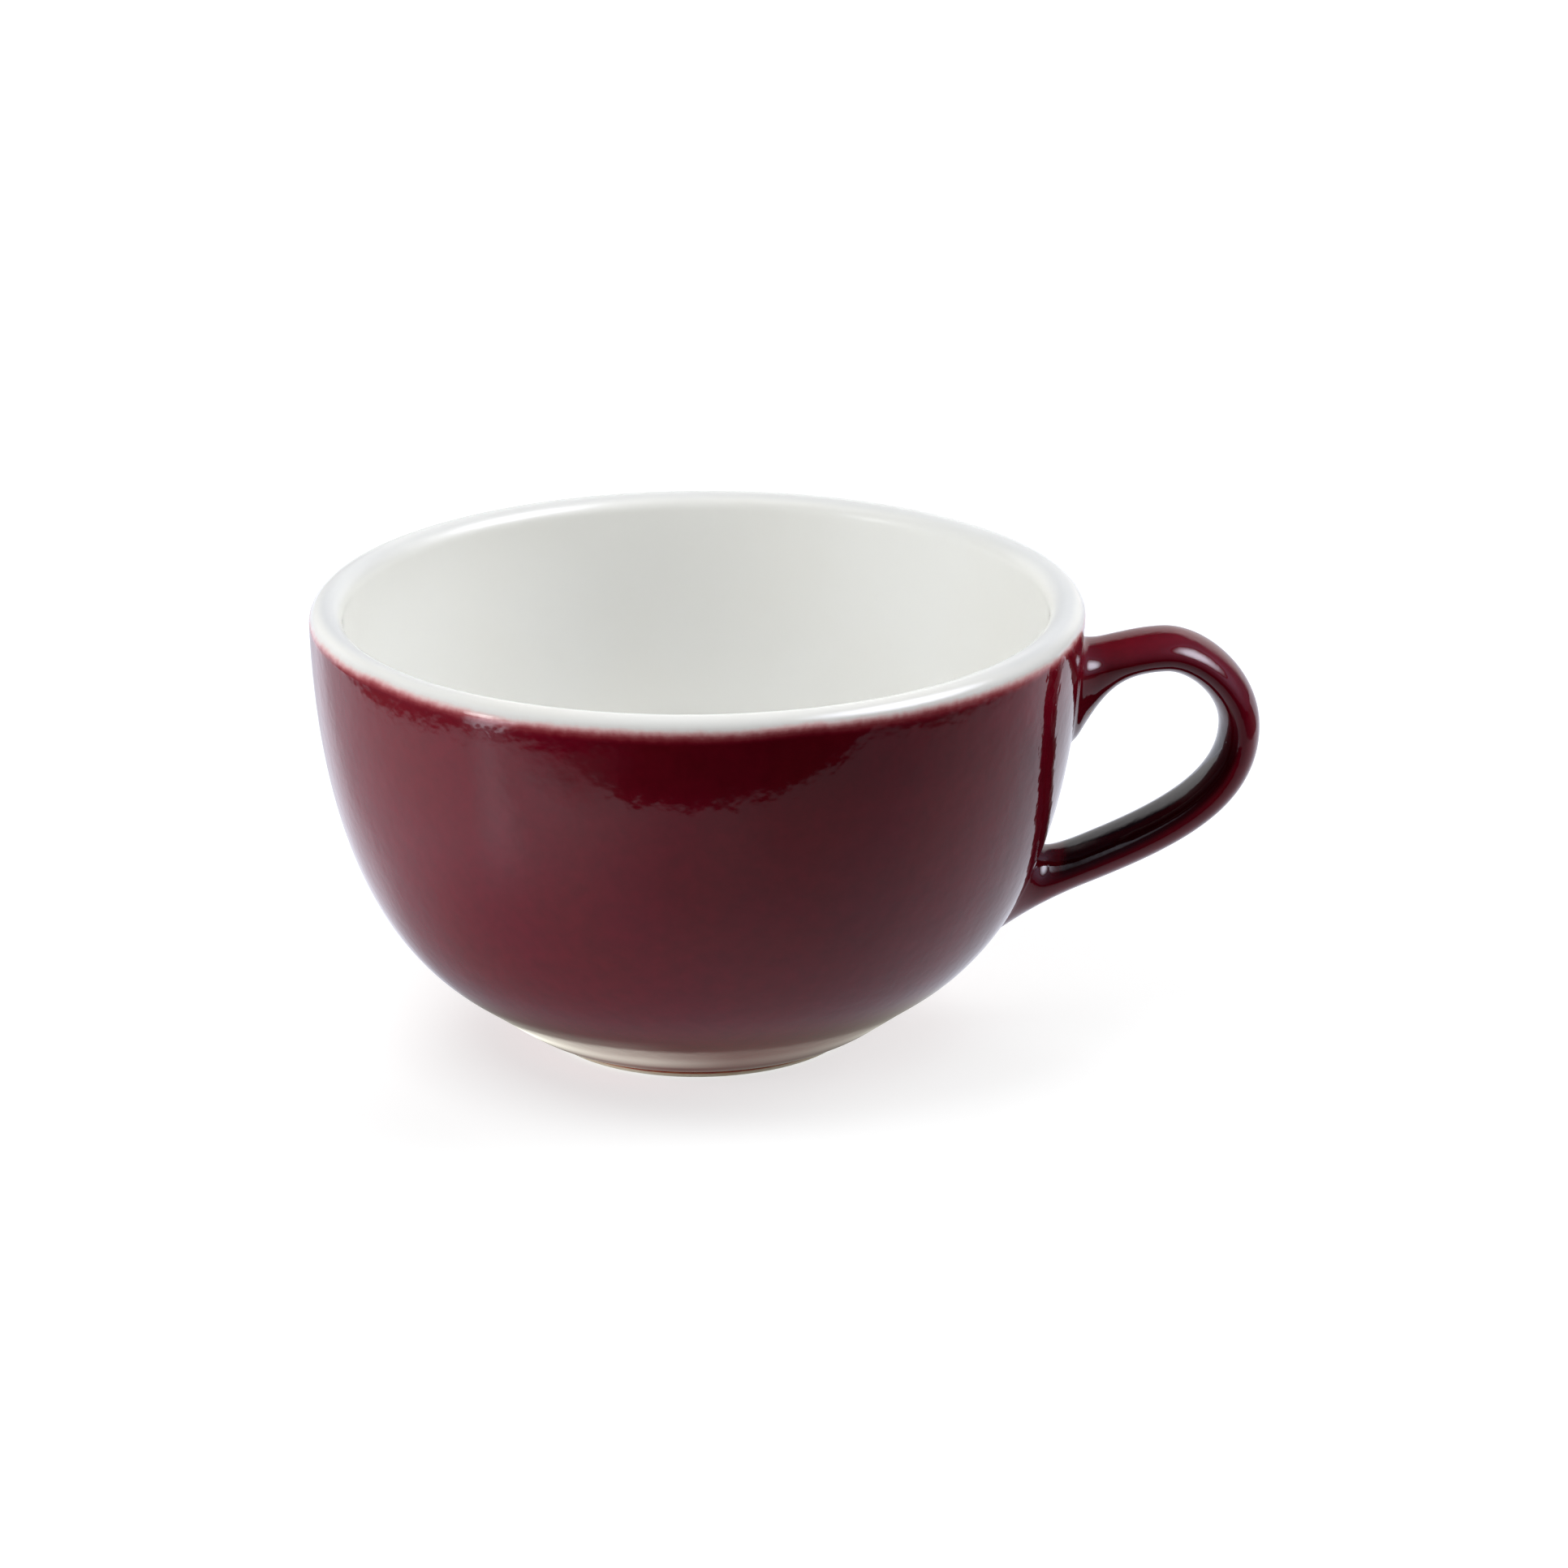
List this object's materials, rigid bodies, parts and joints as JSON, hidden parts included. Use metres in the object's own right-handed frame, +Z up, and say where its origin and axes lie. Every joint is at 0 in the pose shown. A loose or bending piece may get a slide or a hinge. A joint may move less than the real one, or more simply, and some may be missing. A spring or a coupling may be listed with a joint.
{
  "type": "coffee cup",
  "caption": "Low round porcelain cappuccino cup with a one-finger loop handle, white glazed inside and burgundy glazed outside, standing on a low foot ring.",
  "frame": {"origin": "centre of the foot ring, on the plane that the cup stands on", "axes": "+Z up along the bowl's axis, +X towards the handle, +Y across the handle"},
  "size_m": [0.1173, 0.095, 0.0557],
  "materials": {
    "porcelain": "fired, unglazed, smooth and matt",
    "slip": "fired, unglazed, matt",
    "white_glaze": "clear gloss glaze over white porcelain",
    "burgundy_glaze": "deep gloss glaze with a faint orange peel, thin and paler at its edges"
  },
  "bodies": {
    "root": {"cup_body": "porcelain", "handle": "porcelain", "upper_slip_joint": "slip", "lower_slip_joint": "slip", "liner_glaze": "white_glaze", "outer_glaze": "burgundy_glaze", "handle_glaze": "burgundy_glaze", "foot_hollow_glaze": "burgundy_glaze"}
  },
  "joints": []
}
